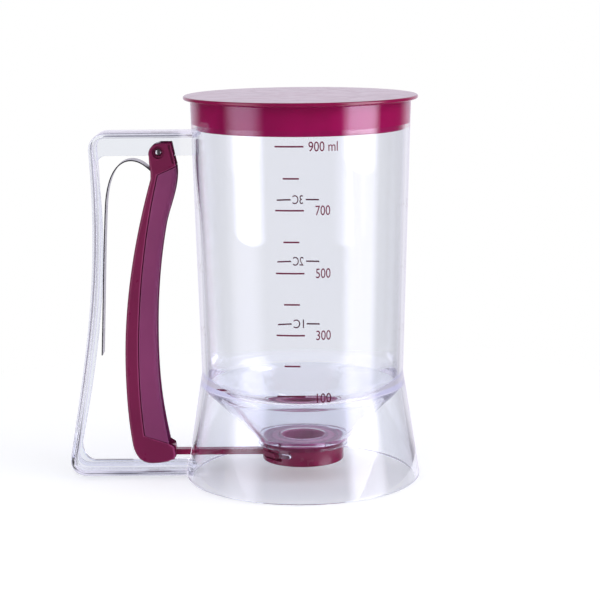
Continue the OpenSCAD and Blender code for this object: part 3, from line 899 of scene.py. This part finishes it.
def printed_text(shape, text, x0, x1, z, side, height=TEXT_H):
    """Text set between x0 and x1 with its middle at height z, bent round the wall."""
    curve = bpy.data.curves.new("text", "FONT")
    curve.body = text
    curve.size = 1
    curve.extrude = 0.5
    curve.offset = 0.004
    holder = bpy.data.objects.new("text", curve)
    bpy.context.scene.collection.objects.link(holder)
    depsgraph = bpy.context.evaluated_depsgraph_get()
    mesh = bpy.data.meshes.new_from_object(holder.evaluated_get(depsgraph))
    bpy.data.objects.remove(holder)
    low = Vector(min(v.co[i] for v in mesh.vertices) for i in range(3))
    high = Vector(max(v.co[i] for v in mesh.vertices) for i in range(3))
    letters = bmesh.new()
    letters.from_mesh(mesh)
    bmesh.ops.remove_doubles(letters, verts=letters.verts, dist=1e-5)
    places = {}
    for v in letters.verts:
        x = x0 + (v.co.x - low.x) / (high.x - low.x) * (x1 - x0)
        up = z + ((v.co.y - low.y) / (high.y - low.y) - 0.5) * height
        proud = INK_FOOT + (INK_T - INK_FOOT) * (v.co.z - low.z) / (high.z - low.z)
        places[v] = shape.verts.new(on_wall(x, up, proud, side))
    for face in letters.faces:
        shape.faces.new([places[v] for v in face.verts])
    letters.free()


def make_scale():
    """Volume marks on the front of the jug, cup marks on its back."""
    front = bmesh.new()
    for volume, z in ((900, 165.3), (700, 136.3), (500, 107.4), (300, 78.5), (100, 49.7)):
        printed_line(front, -11.9, 1.2, z, FRONT)
        if volume > 100:
            printed_line(front, -8.3, -1.0, z - 14.5, FRONT)
        if volume == 900:
            printed_text(front, "900 ml", 3.4, 16.9, z, FRONT)
        else:
            printed_text(front, str(volume), 6.4, 13.2, z - (0.9 if volume == 100 else 0), FRONT)
    new_piece("volume_scale", new_mesh("volume_scale", front), "jug", "magenta_plastic", INK)
    back = bmesh.new()
    for cups, z in ((3, 128.8), (2, 97.5), (1, 65.4)):
        printed_line(back, -9.2, -2.3, z, BACK)
        printed_line(back, 5.6, 12.9, z, BACK)
        printed_text(back, f"{cups}C", -0.9, 4.6, z, BACK)
    new_piece("cup_scale", new_mesh("cup_scale", back), "jug", "magenta_plastic", INK)


make_scale()

# ---------------------------------------------------------------- camera


# found by laying the model over the photograph
CAMERA_PLACE = (0, -0.8973, 0.2472)
CAMERA_DOWN = 10.17
CAMERA_ROLL = -0.466
LENS = 113.39
SHIFT_PIXELS = -2.05
PHOTO_PIXELS = 600


def make_camera():
    data = bpy.data.cameras.new("camera")
    data.lens = LENS
    data.sensor_width = 36
    data.shift_x = SHIFT_PIXELS / PHOTO_PIXELS
    data.clip_start = 0.01
    data.clip_end = 20
    camera = bpy.data.objects.new("camera", data)
    bpy.context.scene.collection.objects.link(camera)
    pitch = math.radians(90 - CAMERA_DOWN)
    roll = math.radians(CAMERA_ROLL)
    turned = Matrix.Rotation(pitch, 4, "X") @ Matrix.Rotation(roll, 4, "Z")
    camera.matrix_world = Matrix.Translation(CAMERA_PLACE) @ turned
    bpy.context.scene.camera = camera


make_camera()

# ---------------------------------------------------------------- studio


LAMP_DISTANCE = 1.1
LAMP_HEIGHT = 0.45
CARD_DISTANCE = 1.0
CARD_HEIGHT = 0.2
CARD_TALL = 3.0
# the room behind the viewer: how bright it is, and the share of +Y in a direction over which it brightens
ROOM_DARK = 0.06
ROOM_EDGE = (0.55, 0.85)
# radii on the floor, in metres
SKIRT_PAINTED_SHADOW = (0.04, 0.062)
PALE_ROUND_FOOT = 0.085
FLOOR_TO_WHITE = (0.12, 0.3)


def facing_jug(azimuth, distance, height):
    """Where a light stands, turned to the jug; azimuth is from the viewer, + to the right."""
    a = math.radians(azimuth)
    place = Vector((math.sin(a) * distance, -math.cos(a) * distance, height))
    aim = Vector((0, 0, height)) - place
    return Matrix.Translation(place) @ aim.to_track_quat("-Z", "Y").to_matrix().to_4x4()


def lamp(name, azimuth, strength):
    """A broad lamp for the light itself; it doesn't show in gloss, where the cards do."""
    data = bpy.data.lights.new(name, "AREA")
    data.shape = "RECTANGLE"
    data.size, data.size_y = 0.9, 1.0
    data.energy = strength * math.pi * data.size * data.size_y
    light = bpy.data.objects.new(name, data)
    bpy.context.scene.collection.objects.link(light)
    light.matrix_world = facing_jug(azimuth, LAMP_DISTANCE, LAMP_HEIGHT)
    light.visible_camera = False
    light.visible_glossy = False
    light.visible_transmission = False


def card(name, azimuth, width, strength, soft):
    """A tall glowing card that shows only in gloss; soft is the share of it that fades to its upright edges."""
    shape = bmesh.new()
    bmesh.ops.create_grid(shape, x_segments=1, y_segments=1, size=0.5)
    bmesh.ops.scale(shape, vec=(width, CARD_TALL, 1), verts=shape.verts)
    mesh = bpy.data.meshes.new(name)
    shape.to_mesh(mesh)
    shape.free()
    piece = bpy.data.objects.new(name, mesh)
    bpy.context.scene.collection.objects.link(piece)
    piece.matrix_world = facing_jug(azimuth, CARD_DISTANCE, CARD_HEIGHT)
    m = Surface(name)
    across = m.add("ShaderNodeSeparateXYZ")
    m.link(m.place, across.inputs[0])
    edge = m.maths("ABSOLUTE", across.outputs["X"], 0)
    fall = m.between(edge, 0, strength, width / 2, width / 2 * (1 - soft), "SMOOTHSTEP")
    glow = m.add("ShaderNodeEmission")
    glow.inputs["Color"].default_value = (0.92, 0.9, 1, 1)
    m.link(fall, glow.inputs["Strength"])
    # it is there only for light that was mirrored on the way, not for what is seen through the jug
    path = m.add("ShaderNodeLightPath")
    mirrored = m.maths("GREATER_THAN", path.outputs["Glossy Depth"], 0.5)
    nothing = m.add("ShaderNodeBsdfTransparent")
    m.link(m.mixed(mirrored, nothing.outputs[0], glow.outputs[0]), m.out.inputs["Surface"])
    mesh.materials.append(m.material)
    piece.visible_camera = False
    piece.visible_diffuse = False
    piece.visible_shadow = False


lamp("left_lamp", -50, strength=2.0)
lamp("right_lamp", 68, strength=3.6)
card("left_card", -62, width=1.0, strength=2.5, soft=0.8)
card("right_card", 66, width=0.95, strength=5.3, soft=0.6)


def make_world():
    """White where it is seen, paler or darker by direction in gloss and glass, and a plain pale light."""
    world = bpy.data.worlds.new("studio")
    bpy.context.scene.world = world
    world.use_nodes = True
    w = Nodes(world.node_tree)
    path = w.add("ShaderNodeLightPath")

    def background(colour, strength):
        made = w.add("ShaderNodeBackground")
        made.inputs["Color"].default_value = (*colour, 1)
        if isinstance(strength, (int, float)):
            made.inputs["Strength"].default_value = strength
        else:
            w.link(strength, made.inputs["Strength"])
        return made.outputs[0]

    # the room behind the viewer is dark, as in a photographer's studio; gloss and glass show it
    way = w.add("ShaderNodeSeparateXYZ")
    w.link(w.add("ShaderNodeTexCoord").outputs["Generated"], way.inputs[0])
    front = w.between(way.outputs["Y"], ROOM_DARK, 1, *ROOM_EDGE, "SMOOTHSTEP")
    # light that was thrown about more than once inside the clear plastic comes from all round
    scattered = w.maths("MULTIPLY", w.maths("GREATER_THAN", path.outputs["Glossy Depth"], 1.5), 0.7)
    white = background((1, 1, 1), 1)
    level = w.maths("MAXIMUM", front, scattered)
    turned = w.maths("GREATER_THAN", path.outputs["Glossy Depth"], 0.5)
    mirrored = w.mixed(turned, background((1, 1, 1), level), background((0.91, 0.87, 1), level))
    plain = background((0.92, 0.94, 1), 0.5)
    lit = w.maths("GREATER_THAN", path.outputs["Diffuse Depth"], 0.5)
    shown = w.mixed(path.outputs["Is Camera Ray"], w.mixed(lit, mirrored, plain), white)
    w.link(shown, w.tree.nodes["World Output"].inputs["Surface"])


make_world()


def make_floor():
    """A pale floor: white to the camera, darker where the object shades it, and with a painted shadow under the
    skirt.
    """
    shape = bmesh.new()
    bmesh.ops.create_circle(shape, cap_ends=True, segments=128, radius=3)
    mesh = bpy.data.meshes.new("floor")
    shape.to_mesh(mesh)
    shape.free()
    floor = bpy.data.objects.new("floor", mesh)
    bpy.context.scene.collection.objects.link(floor)
    floor.location.z = -0.0002
    floor.visible_glossy = False
    m = Surface("floor")
    m.shader.inputs["Base Color"].default_value = (0.86, 0.86, 0.87, 1)
    m.shader.inputs["Roughness"].default_value = 1
    m.shader.inputs["Specular IOR Level"].default_value = 0
    path = m.add("ShaderNodeLightPath")
    seen = m.maths("MAXIMUM", path.outputs["Is Camera Ray"], path.outputs["Is Transmission Ray"])
    away = m.add("ShaderNodeVectorMath", operation="LENGTH")
    m.link(m.place, away.inputs[0])
    far = m.between(away.outputs["Value"], 0, 1, *FLOOR_TO_WHITE)
    # painted shadow: the floor's lift is lower under the skirt
    under = m.between(away.outputs["Value"], 0.29, 0.42, *SKIRT_PAINTED_SHADOW)
    lift = m.add("ShaderNodeEmission")
    m.link(m.maths("MULTIPLY", seen, under), lift.inputs["Strength"])
    near = m.add("ShaderNodeAddShader")
    m.link(m.shader.outputs[0], near.inputs[0])
    m.link(lift.outputs[0], near.inputs[1])
    white = m.add("ShaderNodeEmission")
    shown = m.mixed(m.maths("MULTIPLY", seen, far), near.outputs[0], white.outputs[0])
    # in reflections it is dark in front, as the room is there, but pale round the foot of the clear jug
    toward = m.add("ShaderNodeVectorMath", operation="NORMALIZE")
    m.link(m.place, toward.inputs[0])
    depth = m.add("ShaderNodeSeparateXYZ")
    m.link(toward.outputs[0], depth.inputs[0])
    mirrored = m.add("ShaderNodeEmission")
    m.link(m.between(depth.outputs["Y"], ROOM_DARK, 0.9, *ROOM_EDGE), mirrored.inputs["Strength"])
    outside = m.maths("GREATER_THAN", away.outputs["Value"], PALE_ROUND_FOOT)
    bounced = m.maths("MULTIPLY", m.maths("COMPARE", path.outputs["Glossy Depth"], 1), outside)
    m.link(m.mixed(bounced, shown, mirrored.outputs[0]), m.out.inputs["Surface"])
    mesh.materials.append(m.material)


make_floor()

scene = bpy.context.scene
scene.view_settings.view_transform = "Standard"
scene.cycles.max_bounces = 24
scene.cycles.glossy_bounces = 16
scene.cycles.transmission_bounces = 24
scene.cycles.transparent_max_bounces = 24

bpy.context.view_layer.update()
